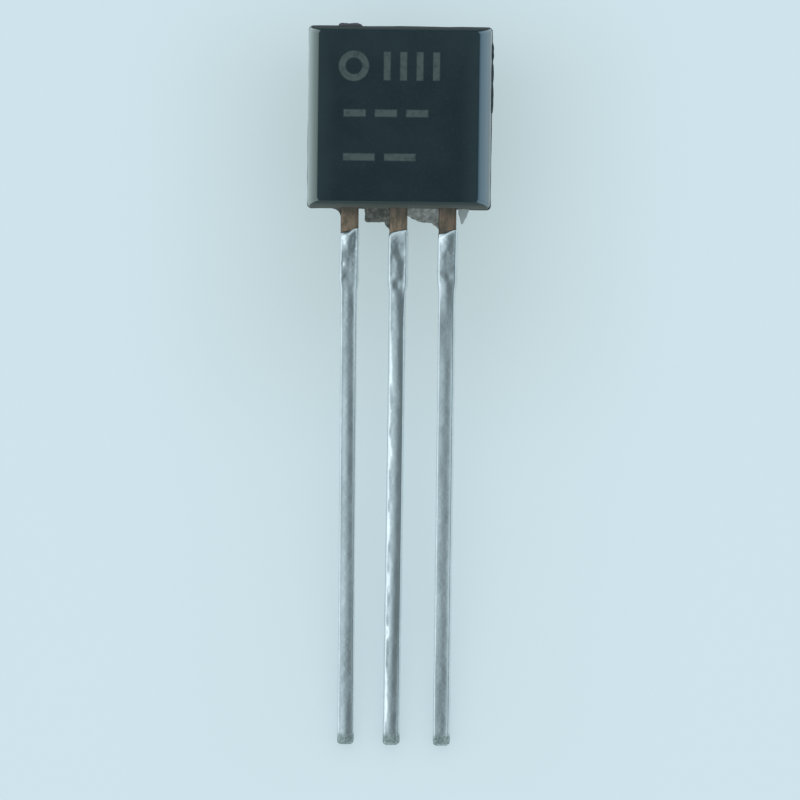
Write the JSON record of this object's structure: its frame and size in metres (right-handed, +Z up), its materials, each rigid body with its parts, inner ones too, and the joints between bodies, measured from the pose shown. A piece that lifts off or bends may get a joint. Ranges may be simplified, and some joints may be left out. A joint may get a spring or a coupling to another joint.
{
  "type": "to-92 transistor",
  "caption": "Small-signal transistor: half-round moulded body with a flat face, and long straight tinned leads in a row for through-hole circuits.",
  "frame": {"origin": "on the surface the part lies on, under the middle of its length and width", "axes": "+Z up from the surface, with the flat face up; +Y from the lead tips to the body; +X from the emitter lead to the base lead. The body lies on its round back and the leads slope down to their tips, so the lead plane is tilted 8.5 degrees about X"},
  "size_m": [0.0048, 0.0186, 0.0041],
  "materials": {
    "resin": "satin, finely textured",
    "lead_copper": "dull oxidised copper",
    "tin_coat": "hot-dipped, lumpy and bright",
    "silicon": "polished",
    "die_bond": "matt",
    "gold_wire": "bright"
  },
  "bodies": {
    "root": {"moulded_body": "resin", "emitter_lead": "lead_copper", "collector_lead": "lead_copper", "base_lead": "lead_copper", "emitter_lead_coat": "tin_coat", "collector_lead_coat": "tin_coat", "base_lead_coat": "tin_coat", "silicon_die": "silicon", "die_bond": "die_bond", "emitter_wire": "gold_wire", "base_wire": "gold_wire"}
  },
  "joints": []
}
